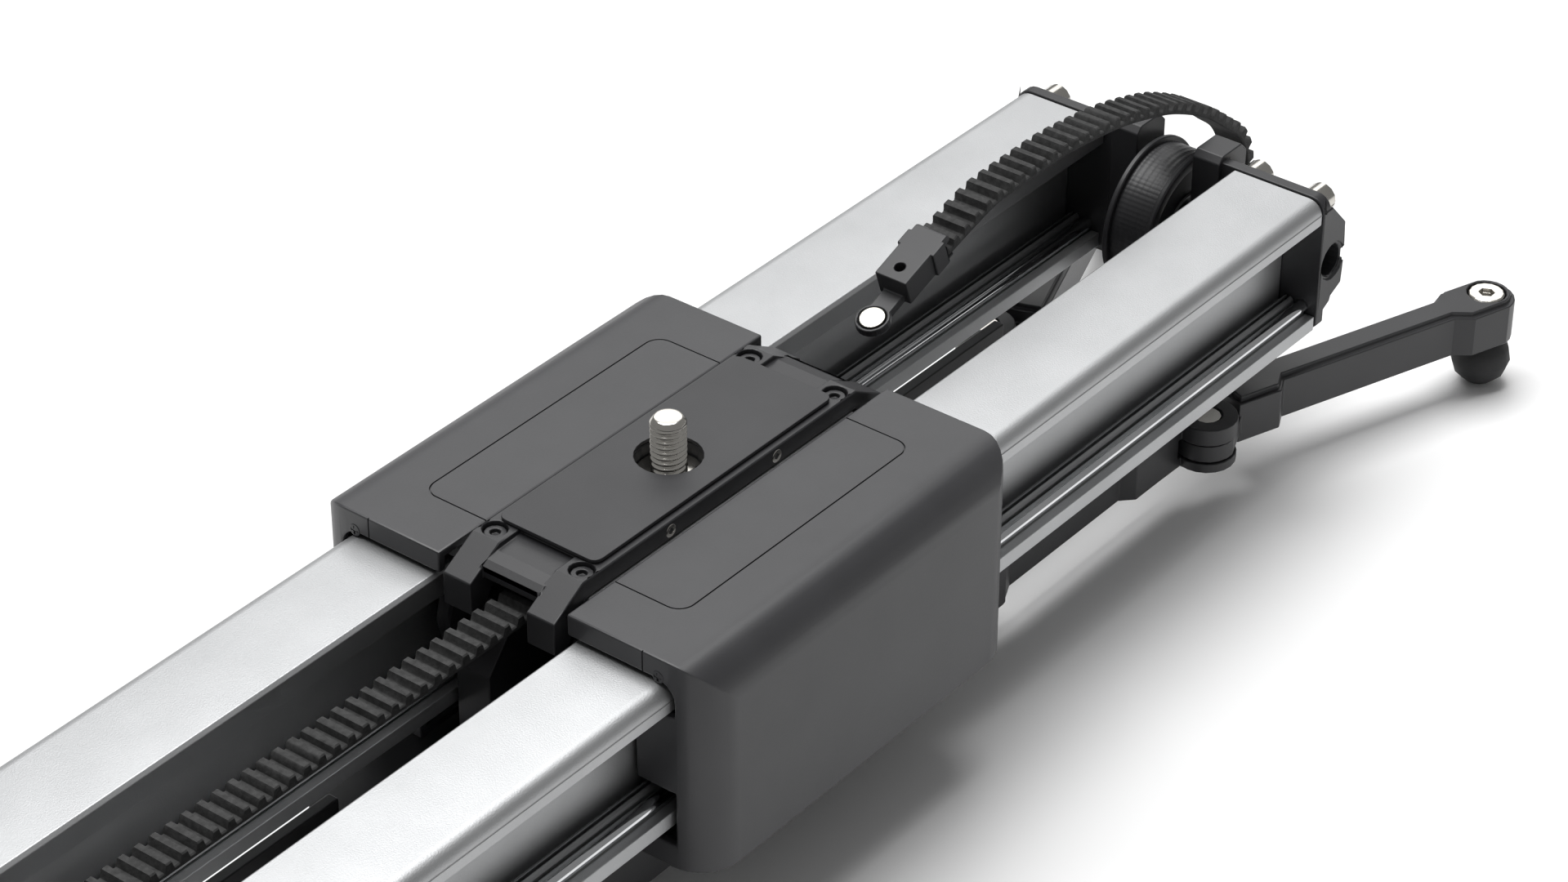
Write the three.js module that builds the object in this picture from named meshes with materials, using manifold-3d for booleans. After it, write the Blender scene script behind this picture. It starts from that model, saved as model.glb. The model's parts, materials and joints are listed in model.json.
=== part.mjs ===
// Double-distance camera slider: a base with four folding legs, a pair of aluminium rails
// that slides over the base, and a carriage that slides over the rails, driven by one belt.
// Millimetres, +Z up. X runs along the rails, and the origin is on the floor below the middle.
import * as THREE from "three";
import { mergeVertices } from "three/addons/utils/BufferGeometryUtils.js";
import Module from "manifold-3d";

const wasm = await Module();
wasm.setup();

// ---- driving dimensions ----------------------------------------------------------------
const GAP = 0.3; // left between two pieces that touch
const SLIDE_GAP = 1.2; // left between pieces that slide past each other

const RAIL_LENGTH = 448;
const RAIL_TOP = 90.5;
const RAIL_BOTTOM = 48.4;
const RAIL_IN = 22; // half of the channel between the rails
const RAIL_WIDTH = 30.5;
const RAIL_ROUND = 4.5;
const FLANGE = 4.5;
const LIP = 2.8; // depth of a lip below its flange
const LIP_WALL = 1.7;
const WEB = 6.4;
const FOOT = 4.5; // thickness of a rail's lower flange
const ROD_R = 2;
const ROD_INSET = 4.5; // rod axis inside a rail's side
const ROD_RISE = 6.2; // rod axis over a rail's bottom
const CHANNEL_R = 1.9; // screw channel's boss
const CHANNEL_BORE = 1.1;
const CHANNEL_STEP = 4.4; // between a rod and the screw channel beside it

const WHEEL_WIDTH = 4.6;
const WHEEL_RIM = 1.5; // rim beyond the groove's floor
const WHEEL_BORE = 2.9;
const CARRIAGE_WHEEL_X = 42;
const BASE_WHEEL_X = 42;

const IDLER_BEYOND = 2.8; // idler axis beyond a rail's end
const IDLER_Z = 64.7;
const IDLER_FLANGE_R = 23.2;
const IDLER_DRUM_R = 21.6;
const IDLER_HALF = 7.7;
const IDLER_HUB_R = 7;
const AXLE_R = 3;
const BELT_HALF = 5.35;
const BELT_THICK = 3.6;
const BELT_ANCHOR_X = 12;

const CARRIAGE_LENGTH = 127;
const COVER_OUT = 64;
const COVER_IN = 20.6;
const COVER_TOP = 97.9;
const COVER_BOTTOM = 35.8;
const COVER_ROUND = 12;
const COVER_WALL = 2.4;
const COVER_SILL = 43; // top of the low wall under a rail
const COVER_SILL_IN = 30;
const DECK_HALF = 56;
const DECK_WALL = 3;

const PLATE_TOP = 102;
const PLATE_THICK = 1;
const PLATE_LENGTH = 94;
const PLATE_WIDTH = 32;
const PLATE_CORNER = 2.5;
const RECESS_R = 8.9;
const SCREW_R = 4.7625; // 3/8 inch
const SCREW_RISE = 11.5;
const ARM_IN = 9;
const ARM_OUT = 18;
const ARM_REACH = 65.2;
const BOLT_X = 50;
const BOLT_Y = 14;
const BOLT_HEAD_R = 3;
const BOLT_R = 1.6;

const BRACKET_DEPTH = 13;
const BRACKET_PLATE = 4;
const CHEEK_IN = 9.5;
const CHEEK_OUT = 18.5;
const CHEEK_TOP = 93;
const YOKE_LOW = 36.6;
const YOKE_HIGH = 38.6;
const SOCKET_R = 4.7625; // 3/8 inch
const SOCKET_DEPTH = 12;
const SOCKET_BEYOND = 7;
const SOCKET_Z = 68.4;
const HEAD_R = 4.4;
const HEAD_LENGTH = 6.8;
const HEAD_Z = 85.2;
const END_SCREW_R = 2;
const END_SCREW_Y = { inner: 25.1, outer: 45.7 };

const BASE_LOW = 16.5;
const SLAB_TOP = 34.5;
const SLAB_X = 100;
const SLAB_Y = 36.6;
const FORK_TOP = 31;
const FORK_IN = 26;
const FORK_OUT = 32.8;
const SLOT_RELIEF = 1.2; // past the ear, so that a folded leg's tongue clears the neck
const RIB_DROP = 8.2; // from the underside of a rail to the top of a fork's rib
const NECK_X = 161;
const NECK_OUT = 36.4;
const PIN_X = 191.6;
const PIN_Y = 39.1;
const EAR_R = 9;
const TONGUE_LOW = 19.8;
const TONGUE_HIGH = 25.3;
const PIN_R = 2.6;
const PIN_HEAD_R = 4.1;
const PIN_HEAD = 1.2;
const TOWER_IN = 9;
const TOWER_OUT = 20;
const TOWER_X = 60;
const TRIPOD_R = 4.7625; // 3/8 inch
const TRIPOD_SMALL_R = 3.175; // 1/4 inch
const TRIPOD_DEPTH = 11;
const TRIPOD_STEP = 24;

const LEG_ANGLE = 20; // outward swing of an open leg, degrees
const LEG_REACH = 109.7;
const LEG_OFFSET = 9.6; // foot's line beside the pin
const LEG_TONGUE_R = 8.6;
const LEG_ROOT = 12; // start of the full-height block
const LEG_BLOCK = 15;
const LEG_BAR_OUT = 4.6;
const LEG_BAR_IN = 14.9;
const LEG_HEAD_R = 8.5;
const LEG_CHAMFER = 1.5;
const FOOT_R = 9;
const FOOT_SCREW_R = 2.5;
const FOOT_HEAD_R = 5.6;
const FOOT_HEAD = 2.6;
const FOOT_HEX = 4;

const CLIP_BEFORE_IDLER = 134.95; // clip's upper front edge to the far idler's axis
const CLIP_Z = 109.6;
const CLIP_TILT = 19.5;
const CLIP_LENGTH = 20;
const CLIP_HEIGHT = 8;
const CLIP_HALF = 5.15;
const RING_R = 4.9;
const RING_THICK = 2.5;
const MAGNET_R = 3.6;

// ---- derived ---------------------------------------------------------------------------
const railEnd = RAIL_LENGTH / 2;
const railOut = RAIL_IN + RAIL_WIDTH;
const railMiddle = RAIL_IN + RAIL_WIDTH / 2;
const rodOffset = RAIL_WIDTH / 2 - ROD_INSET;
const rodZ = RAIL_BOTTOM + ROD_RISE;
const flangeLow = RAIL_TOP - FLANGE;
const wheelLow = rodZ + ROD_R + GAP; // groove's floor where it meets the rod
const wheelHigh = flangeLow - GAP; // rim where it runs under the flange
const wheelR = (wheelHigh - wheelLow + WHEEL_RIM) / 2;
const wheelZ = wheelHigh - wheelR;
const stubR = WHEEL_BORE - 0.4;
const innerWheelY = railMiddle - rodOffset;
const outerWheelY = railMiddle + rodOffset;
const idlerX = railEnd + IDLER_BEYOND;
const clipX = idlerX - CLIP_BEFORE_IDLER;
const beltIn = IDLER_DRUM_R + GAP;
const beltOut = beltIn + BELT_THICK;
const deckLow = RAIL_TOP + 1;
const deckHigh = COVER_TOP - COVER_WALL - GAP;
const deckHalfWidth = railOut + SLIDE_GAP + GAP + DECK_WALL;
const frameLow = deckHigh + GAP;
const frameTop = PLATE_TOP - PLATE_THICK - GAP;
const padTop = IDLER_Z - beltOut - GAP;

// ---- looks -----------------------------------------------------------------------------
const BLACK_ANODISED = { color: 0x2b2b2d, roughness: 0.5, metalness: 0.3 };
const COVER_BLACK = { color: 0x333334, roughness: 0.6, metalness: 0.1 };
const SILVER_ANODISED = { color: 0xdedfe0, roughness: 0.42, metalness: 0.9 };
const POLISHED_STEEL = { color: 0xcfcec9, roughness: 0.18, metalness: 1 };
const BLACK_RUBBER = { color: 0x1b1b1c, roughness: 0.85, metalness: 0 };

// ---- helpers ---------------------------------------------------------------------------
function solidOf(geometry) {
  const bare = geometry.index ? geometry.toNonIndexed() : geometry.clone();
  bare.deleteAttribute("normal");
  bare.deleteAttribute("uv");
  const merged = mergeVertices(bare, 1e-4);
  return new wasm.Manifold(new wasm.Mesh({
    numProp: 3,
    vertProperties: merged.attributes.position.array,
    triVerts: new Uint32Array(merged.index.array),
  }));
}

function geometryOf(solid) {
  const mesh = solid.getMesh();
  const geometry = new THREE.BufferGeometry();
  geometry.setAttribute("position", new THREE.BufferAttribute(mesh.vertProperties, 3));
  geometry.setIndex(new THREE.BufferAttribute(mesh.triVerts, 1));
  const flat = geometry.toNonIndexed();
  flat.computeVertexNormals();
  return flat;
}

const union = (...list) => list.reduce((a, b) => a.add(b));
const cut = (first, ...rest) => rest.reduce((a, b) => a.subtract(b), first);

function prism(points, depth, basis) {
  const shape = new THREE.Shape(points.map(([a, b]) => new THREE.Vector2(a, b)));
  const geometry = new THREE.ExtrudeGeometry(shape, { depth, bevelEnabled: false });
  return solidOf(geometry.applyMatrix4(basis));
}

const AXIS_X = new THREE.Vector3(1, 0, 0);
const AXIS_Y = new THREE.Vector3(0, 1, 0);
const AXIS_Z = new THREE.Vector3(0, 0, 1);
const alongXBasis = new THREE.Matrix4().makeBasis(AXIS_Y, AXIS_Z, AXIS_X);
const alongYBasis = new THREE.Matrix4().makeBasis(AXIS_X, AXIS_Z, AXIS_Y.clone().negate());

// Prisms: an outline in (y, z) along X, in (x, z) along Y, and in (x, y) along Z. The two
// ends can be given in either order.
function alongX(points, a, b) {
  return prism(points, Math.abs(b - a), alongXBasis.clone().setPosition(Math.min(a, b), 0, 0));
}
function alongY(points, a, b) {
  return prism(points, Math.abs(b - a), alongYBasis.clone().setPosition(0, Math.max(a, b), 0));
}
function alongZ(points, a, b) {
  return prism(points, Math.abs(b - a), new THREE.Matrix4().makeTranslation(0, 0, Math.min(a, b)));
}

const rect = (a0, a1, b0, b1) => [[a0, b0], [a1, b0], [a1, b1], [a0, b1]];
const box = (x0, x1, y0, y1, z0, z1) => alongZ(rect(x0, x1, y0, y1), z0, z1);

// Points on an arc about (a, b), from one angle to another in degrees.
function arc(a, b, r, from, to, n) {
  return Array.from({ length: n + 1 }, (_, i) => {
    const t = THREE.MathUtils.degToRad(from + ((to - from) * i) / n);
    return [a + r * Math.cos(t), b + r * Math.sin(t)];
  });
}
const circle = (a, b, r, n = 16) => arc(a, b, r, 0, 360, n).slice(0, n);

const roundRect = (a0, a1, b0, b1, r, n = 4) => [
  ...arc(a1 - r, b0 + r, r, -90, 0, n),
  ...arc(a1 - r, b1 - r, r, 0, 90, n),
  ...arc(a0 + r, b1 - r, r, 90, 180, n),
  ...arc(a0 + r, b0 + r, r, 180, 270, n),
];

// Solids of revolution about Y (crosswise) and about Z (upright), from an (r, h) profile.
function crosswise(profile, n) {
  return solidOf(new THREE.LatheGeometry(profile.map(([r, h]) => new THREE.Vector2(r, h)), n));
}
const upright = (profile, x, y, n) => crosswise(profile, n).rotate([90, 0, 0]).translate([x, y, 0]);

const scaled = (points, sa, sb = 1) => points.map(([a, b]) => [a * sa, b * sb]);

const slider = new THREE.Group();
const bodies = { base: new THREE.Group(), rails: new THREE.Group(), carriage: new THREE.Group() };
slider.add(...Object.values(bodies));

function place(group, name, solid, look) {
  const mesh = new THREE.Mesh(geometryOf(solid), new THREE.MeshStandardMaterial(look));
  mesh.name = name;
  group.add(mesh);
}

const SIDES = { left: 1, right: -1 };
const ENDS = { near: -1, far: 1 };
const corners = Object.entries(ENDS).flatMap(([end, e]) =>
  Object.entries(SIDES).map(([side, s]) => ({ name: `${end}_${side}`, e, s })));

// ---- base: slab, four forks and two roller towers -----------------------------------------
// One fork with the clevis that a leg is pinned in, in the corner given by the signs.
function fork(e, s) {
  const arm = [
    [SLAB_X - 2, FORK_IN], [PIN_X - 6, FORK_IN], [PIN_X - 2, PIN_Y - EAR_R + 1],
    [PIN_X - 2, NECK_OUT], [NECK_X, NECK_OUT], [NECK_X - NECK_OUT + FORK_OUT, FORK_OUT],
    [SLAB_X + 5, FORK_OUT], [SLAB_X - 2, SLAB_Y - 0.5],
  ];
  const ear = circle(PIN_X, PIN_Y, EAR_R, 20);
  const slotLow = TONGUE_LOW - GAP;
  const slotHigh = TONGUE_HIGH + GAP;
  const rib = rect(SLAB_X - 2, PIN_X - EAR_R, FORK_IN, COVER_SILL_IN - 2 * GAP);
  const solid = union(
    alongZ(scaled(rib, e, s), FORK_TOP - 1, RAIL_BOTTOM - RIB_DROP),
    alongZ(scaled(arm, e, s), BASE_LOW, FORK_TOP),
    alongZ(scaled(ear, e, s), BASE_LOW, FORK_TOP),
  );
  const x = PIN_X * e;
  const y = PIN_Y * s;
  return cut(
    solid,
    alongZ(circle(x, y, EAR_R + SLOT_RELIEF, 20), slotLow, slotHigh),
    alongZ(circle(x, y, PIN_R + GAP, 12), BASE_LOW + 1, FORK_TOP + 1),
    alongZ(circle(x, y, PIN_HEAD_R + GAP, 14), FORK_TOP - PIN_HEAD - GAP, FORK_TOP + 1),
  );
}

function rollerTower(s) {
  const top = wheelZ + 6;
  const waist = SLAB_TOP + 14;
  const outline = [
    [-TOWER_X, SLAB_TOP - 1], [TOWER_X, SLAB_TOP - 1], [TOWER_X, top - 14],
    [BASE_WHEEL_X + 6, top], [BASE_WHEEL_X - 6, top], [BASE_WHEEL_X - 18, waist],
    [18 - BASE_WHEEL_X, waist], [6 - BASE_WHEEL_X, top], [-BASE_WHEEL_X - 6, top],
    [-TOWER_X, top - 14],
  ];
  const tip = s * (innerWheelY + WHEEL_WIDTH / 2);
  const stub = (x) => alongY(circle(x, wheelZ, stubR, 16), s * (TOWER_OUT - 1), tip);
  return union(alongY(outline, s * TOWER_IN, s * TOWER_OUT), stub(-BASE_WHEEL_X), stub(BASE_WHEEL_X));
}

function baseBody() {
  const socket = (x, r) => alongZ(circle(x, 0, r, 20), BASE_LOW - 1, BASE_LOW + TRIPOD_DEPTH);
  const solid = union(
    alongZ(roundRect(-SLAB_X, SLAB_X, -SLAB_Y, SLAB_Y, 3), BASE_LOW, SLAB_TOP),
    ...corners.map(({ e, s }) => fork(e, s)),
    rollerTower(1),
    rollerTower(-1),
    box(-14, 14, -7.5, 7.5, SLAB_TOP - 1, padTop),
  );
  return cut(
    solid,
    socket(0, TRIPOD_R),
    socket(-TRIPOD_STEP, TRIPOD_SMALL_R),
    socket(TRIPOD_STEP, TRIPOD_SMALL_R),
  );
}
place(bodies.base, "base_body", baseBody(), BLACK_ANODISED);

// A captured roller: its groove rides on a rod, and its rim runs under the flange above.
function roller(x, y) {
  const half = WHEEL_WIDTH / 2;
  const seat = ROD_R + GAP;
  const reach = wheelZ - rodZ;
  const open = THREE.MathUtils.radToDeg(Math.asin((reach - wheelR) / seat));
  const groove = arc(0, 0, seat, open, 180 - open, 4).map(([h, r]) => [reach - r, -h]);
  const profile = [
    [WHEEL_BORE, -half], [wheelR, -half], ...groove, [wheelR, half], [WHEEL_BORE, half],
    [WHEEL_BORE, -half],
  ];
  return crosswise(profile, 12).translate([x, y, wheelZ]);
}
for (const { name, e, s } of corners) {
  const onBase = roller(e * BASE_WHEEL_X, s * innerWheelY);
  const onCarriage = roller(e * CARRIAGE_WHEEL_X, s * outerWheelY);
  place(bodies.base, `base_roller_${name}`, onBase, COVER_BLACK);
  place(bodies.carriage, `carriage_roller_${name}`, onCarriage, COVER_BLACK);
}

// ---- legs ----------------------------------------------------------------------------------
// A point of a leg's own plan (u out along the bar, n toward the inside) in the floor's plan.
function legPoint(e, s, [u, n]) {
  const a = THREE.MathUtils.degToRad(LEG_ANGLE);
  const x = PIN_X + u * Math.cos(a) + n * Math.sin(a);
  const y = PIN_Y + u * Math.sin(a) - n * Math.cos(a);
  return [x * e, y * s];
}

// The full-height plan: root block, slanted step, bar and the head that holds the foot.
function legPlan(inset) {
  return [
    [LEG_ROOT + inset, 0.5 + inset], [LEG_ROOT + LEG_BLOCK, 0.5 + inset],
    [LEG_ROOT + LEG_BLOCK + 4, LEG_BAR_OUT + inset], [93.7, LEG_BAR_OUT + inset],
    [99, 1.3 + inset], ...arc(LEG_REACH, LEG_OFFSET, LEG_HEAD_R - inset, -75, 75, 9),
    [99, 17.9 - inset], [93.7, LEG_BAR_IN - inset], [LEG_ROOT + inset, LEG_BAR_IN - inset],
  ];
}

function leg(e, s) {
  const map = (points) => points.map((p) => legPoint(e, s, p));
  const tongue = [...arc(0, 0, LEG_TONGUE_R, 62, 298, 13), [LEG_ROOT + 1, -2], [LEG_ROOT + 1, 9]];
  const [px, py] = legPoint(e, s, [0, 0]);
  const [fx, fy] = legPoint(e, s, [LEG_REACH, LEG_OFFSET]);
  tongue[tongue.length - 2] = [LEG_ROOT + 1, 0.6];
  const solid = union(
    alongZ(map(legPlan(0)), BASE_LOW, FORK_TOP - LEG_CHAMFER),
    alongZ(map(legPlan(LEG_CHAMFER)), FORK_TOP - LEG_CHAMFER - 1, FORK_TOP),
    alongZ(map(tongue), TONGUE_LOW, TONGUE_HIGH),
  );
  return cut(
    solid,
    alongZ(circle(px, py, PIN_R + GAP, 12), BASE_LOW, FORK_TOP),
    alongZ(circle(fx, fy, FOOT_SCREW_R + GAP, 12), BASE_LOW - 1, FORK_TOP + 1),
    alongZ(circle(fx, fy, FOOT_HEAD_R + GAP, 16), FORK_TOP - FOOT_HEAD, FORK_TOP + 1),
  );
}

function legPin(x, y) {
  const top = FORK_TOP - GAP;
  const low = BASE_LOW + 1 + GAP;
  const profile = [
    [0, low], [PIN_R, low], [PIN_R, FORK_TOP - PIN_HEAD], [PIN_HEAD_R, FORK_TOP - PIN_HEAD],
    [PIN_HEAD_R, top], [0, top],
  ];
  return upright(profile, x, y, 12);
}

function footScrew(x, y) {
  const seat = FORK_TOP - FOOT_HEAD + GAP;
  const profile = [
    [0, BASE_LOW - 6], [FOOT_SCREW_R, BASE_LOW - 6], [FOOT_SCREW_R, seat], [FOOT_HEAD_R, seat],
    [FOOT_HEAD_R, FORK_TOP - 0.5], [FOOT_HEAD_R - 0.5, FORK_TOP], [0, FORK_TOP],
  ];
  const hex = circle(x, y, FOOT_HEX / Math.sqrt(3), 6);
  return cut(upright(profile, x, y, 14), alongZ(hex, FORK_TOP - 1.5, FORK_TOP + 1));
}

function foot(x, y) {
  const top = BASE_LOW - GAP;
  const bore = FOOT_SCREW_R + GAP;
  const edge = THREE.MathUtils.radToDeg(Math.asin((top - FOOT_R) / FOOT_R));
  const ball = arc(0, FOOT_R, FOOT_R, -90, edge, 5);
  ball[0][0] = 0;
  const low = BASE_LOW - 6 - GAP;
  return upright([...ball, [bore, top], [bore, low], [0, low]], x, y, 14);
}

for (const { name, e, s } of corners) {
  const legGroup = new THREE.Group();
  const [x, y] = legPoint(e, s, [LEG_REACH, LEG_OFFSET]);
  bodies.base.add(legGroup);
  place(legGroup, `leg_${name}`, leg(e, s), BLACK_ANODISED);
  place(legGroup, `foot_screw_${name}`, footScrew(x, y), POLISHED_STEEL);
  place(legGroup, `foot_${name}`, foot(x, y), BLACK_RUBBER);
  place(bodies.base, `leg_pin_${name}`, legPin(PIN_X * e, PIN_Y * s), POLISHED_STEEL);
}

// ---- rails ----------------------------------------------------------------------------------
// An I-shaped extrusion: lipped upper flange, web, and a lower flange with two rod seats and
// two round screw channels.
function rail(s) {
  const bar = (y0, y1, z0, z1) => rect(y0, y1, z0, z1);
  const flange = [
    [RAIL_IN, flangeLow], [railOut, flangeLow],
    ...arc(railOut - RAIL_ROUND, RAIL_TOP - RAIL_ROUND, RAIL_ROUND, 0, 90, 6),
    [RAIL_IN + 1, RAIL_TOP], [RAIL_IN, RAIL_TOP - 1],
  ];
  const footTop = RAIL_BOTTOM + FOOT;
  const floor = rodZ - GAP;
  const parts = [
    flange,
    bar(railOut - LIP_WALL, railOut, flangeLow - LIP, flangeLow + 0.5),
    bar(RAIL_IN, RAIL_IN + LIP_WALL, flangeLow - LIP, flangeLow + 0.5),
    bar(railMiddle - WEB / 2, railMiddle + WEB / 2, RAIL_BOTTOM + 1, flangeLow + 0.5),
    bar(RAIL_IN, railOut, RAIL_BOTTOM, footTop),
    bar(railMiddle - rodOffset, railMiddle + rodOffset, RAIL_BOTTOM + 1, floor),
    circle(railMiddle + rodOffset - CHANNEL_STEP, rodZ + 0.4, CHANNEL_R, 16),
    circle(railMiddle - rodOffset + CHANNEL_STEP, rodZ + 0.4, CHANNEL_R, 16),
  ];
  const run = (points, extra = 0) => alongX(scaled(points, s), -railEnd - extra, railEnd + extra);
  const holes = [1, -1].flatMap((k) => {
    const rodY = railMiddle + k * rodOffset;
    const screwY = rodY - k * CHANNEL_STEP;
    return [
      run(circle(rodY, rodZ, ROD_R + GAP, 20), 1),
      run(circle(screwY, rodZ + 0.4, CHANNEL_BORE, 10), 1),
      run(bar(screwY - 0.5, screwY + 0.5, rodZ + 0.4, rodZ + 4), 1),
    ];
  });
  return cut(union(...parts.map((points) => run(points))), ...holes);
}

for (const [side, s] of Object.entries(SIDES)) {
  place(bodies.rails, `${side}_rail`, rail(s), SILVER_ANODISED);
  for (const [where, k] of [["inner", -1], ["outer", 1]]) {
    const outline = circle(s * (railMiddle + k * rodOffset), rodZ, ROD_R, 20);
    place(bodies.rails, `${side}_${where}_rod`, alongX(outline, -railEnd, railEnd), POLISHED_STEEL);
  }
}

// ---- end brackets, idlers and end screws ------------------------------------------------------
// Drawn outward from a rail end at x = 0, for the far end, then turned round for the near one.
function atEnd(solid, e) {
  const far = solid.translate([railEnd, 0, 0]);
  return e > 0 ? far : far.rotate([0, 0, 180]);
}

function bracketHalf(s) {
  const face = railOut + 0.5;
  const plate = [
    [CHEEK_IN, RAIL_BOTTOM - 1.6], [face - 3, RAIL_BOTTOM - 1.6], [face, RAIL_BOTTOM + 1.4],
    ...arc(face - RAIL_ROUND, RAIL_TOP + 0.5 - RAIL_ROUND, RAIL_ROUND, 0, 90, 5),
    [CHEEK_IN, RAIL_TOP + 0.5],
  ];
  const shoulder = [
    [1, 52], [7, 55], [7.5, 56.5], [12.6, 58.8], [12.6, 78.9], [5.2, 86.9], [1, 86.9],
  ];
  const cheek = [
    [-1.5, 44], [1, YOKE_LOW + 1], [1, YOKE_LOW], [BRACKET_DEPTH, YOKE_LOW],
    [BRACKET_DEPTH, CHEEK_TOP - 3], [BRACKET_DEPTH - 3, CHEEK_TOP], [0.5, CHEEK_TOP],
    [-1.5, CHEEK_TOP - 2],
  ];
  return union(
    alongX(scaled(plate, s), GAP, BRACKET_PLATE),
    alongY(shoulder, s * (CHEEK_OUT - 1), s * face),
    alongY(cheek, s * CHEEK_IN, s * CHEEK_OUT),
  );
}

function endBracket(e) {
  const tie = box(1, BRACKET_DEPTH, -CHEEK_IN - 1, CHEEK_IN + 1, YOKE_LOW, YOKE_HIGH);
  const holes = [
    alongY(circle(IDLER_BEYOND, IDLER_Z, AXLE_R + GAP, 20), -CHEEK_OUT - 1, CHEEK_OUT + 1),
  ];
  for (const s of [1, -1]) {
    const face = s * (railOut + 0.5);
    const mouth = circle(SOCKET_BEYOND, SOCKET_Z, SOCKET_R, 16);
    holes.push(alongY(mouth, face - s * SOCKET_DEPTH, face + s));
    holes.push(alongY(circle(SOCKET_BEYOND, SOCKET_Z, SOCKET_R + 1.1, 16), face - s * 0.8, face + s));
    for (const y of Object.values(END_SCREW_Y)) {
      holes.push(alongX(circle(s * y, HEAD_Z, HEAD_R + 0.6, 14), BRACKET_PLATE, BRACKET_DEPTH + 1));
      holes.push(alongX(circle(s * y, HEAD_Z, END_SCREW_R + GAP, 8), 0, BRACKET_PLATE + 1));
    }
  }
  return atEnd(cut(union(bracketHalf(1), bracketHalf(-1), tie), ...holes), e);
}

function idler() {
  const h = IDLER_HALF;
  const web = IDLER_FLANGE_R - 4;
  const bore = AXLE_R + GAP;
  const dish = h - 1.6;
  const half = [
    [bore, h - 0.6], [IDLER_HUB_R, h - 0.6], [IDLER_HUB_R, dish], [web, dish], [web, h],
    [IDLER_FLANGE_R, h], [IDLER_FLANGE_R, h - 1.4], [IDLER_DRUM_R, h - 1.8],
  ];
  const mirrored = half.map(([r, z]) => [r, -z]);
  const profile = [...mirrored, ...half.reverse(), mirrored[0]];
  return crosswise(profile, 24);
}

for (const [end, e] of Object.entries(ENDS)) {
  const axle = alongY(circle(e * idlerX, IDLER_Z, AXLE_R, 20), -CHEEK_OUT + 0.5, CHEEK_OUT - 0.5);
  place(bodies.rails, `${end}_end_bracket`, endBracket(e), BLACK_ANODISED);
  place(bodies.rails, `${end}_idler`, idler().translate([e * idlerX, 0, IDLER_Z]), BLACK_ANODISED);
  place(bodies.rails, `${end}_idler_axle`, axle, POLISHED_STEEL);
  for (const [side, s] of Object.entries(SIDES)) {
    for (const [where, y] of Object.entries(END_SCREW_Y)) {
      const screw = union(
        alongX(circle(s * e * y, HEAD_Z, HEAD_R, 14), BRACKET_PLATE + GAP, BRACKET_PLATE + GAP + HEAD_LENGTH),
        alongX(circle(s * e * y, HEAD_Z, END_SCREW_R, 8), 2 * GAP, BRACKET_PLATE + 1),
      );
      place(bodies.rails, `end_screw_${end}_${side}_${where}`, atEnd(screw, e), POLISHED_STEEL);
    }
  }
}

// ---- belt -------------------------------------------------------------------------------------
const LEAVE = -48; // where the free end leaves the far idler, degrees

// Near wrap, lower run and the part of the far wrap that lies on its idler.
function beltLoop() {
  const outer = [...arc(-idlerX, IDLER_Z, beltOut, 90, 270, 22), ...arc(idlerX, IDLER_Z, beltOut, -90, LEAVE, 5)];
  const inner = [...arc(idlerX, IDLER_Z, beltIn, LEAVE, -90, 5), ...arc(-idlerX, IDLER_Z, beltIn, 270, 90, 22)];
  return alongY([...outer, ...inner], -BELT_HALF, BELT_HALF);
}

// The free end's middle line, from the far idler over to the clip. Beside the idler it
// follows the drum. Beyond it the belt springs through points given from the idler's axis.
function freeArcLine() {
  const r = (beltIn + beltOut) / 2;
  const [start, next] = arc(idlerX, IDLER_Z, r, LEAVE + 1.5, LEAVE + 8, 1);
  const [lastX, lastZ] = clipPoint(CLIP_LENGTH - 2, -4.8);
  const sprung = [
    [31.8, 62.5], [34.4, 71.6], [29.8, 81.4], [21.4, 88.6], [8.8, 98],
    [-6.8, 106], [-19.4, 110.3], [-34.4, 114.1], [-48.8, 116.2], [-62.6, 117.5],
    [-76.8, 117.5], [-86.1, 117.4], [-92.8, 117.1], [-99.8, 115.8], [-108.3, 113.4],
  ];
  return [start, next, ...sprung.map(([a, b]) => [idlerX + a, b]), [lastX, lastZ]];
}

function freeArc() {
  const line = freeArcLine().map(([a, b]) => new THREE.Vector3(a, b, 0));
  const curve = new THREE.CatmullRomCurve3(line, false, "centripetal");
  const steps = 40;
  const over = [];
  const under = [];
  for (let i = 0; i <= steps; i++) {
    const p = curve.getPointAt(i / steps);
    const t = curve.getTangentAt(i / steps).multiplyScalar(BELT_THICK / 2);
    over.push([p.x + t.y, p.y - t.x]);
    under.unshift([p.x - t.y, p.y + t.x]);
  }
  return alongY([...over, ...under], -BELT_HALF, BELT_HALF);
}

place(bodies.rails, "belt_loop", beltLoop(), BLACK_RUBBER);
const nearRun = box(GAP - idlerX, BELT_ANCHOR_X, -BELT_HALF, BELT_HALF, IDLER_Z + beltIn, IDLER_Z + beltOut);
place(bodies.rails, "belt_near_run", nearRun, BLACK_RUBBER);
place(bodies.rails, "belt_free_arc", freeArc(), BLACK_RUBBER);

// ---- belt clip and its magnet -------------------------------------------------------------------
// A point of the clip's own side view (u back along the top, w up) in the slider's side view.
function clipPoint(u, w) {
  const a = THREE.MathUtils.degToRad(CLIP_TILT);
  return [clipX + u * Math.cos(a) - w * Math.sin(a), CLIP_Z + u * Math.sin(a) + w * Math.cos(a)];
}
const tilted = (solid) => solid.rotate([0, -CLIP_TILT, 0]).translate([clipX, 0, CLIP_Z]);
const ringAhead = 10; // ring's centre in front of the clip's face

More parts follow.
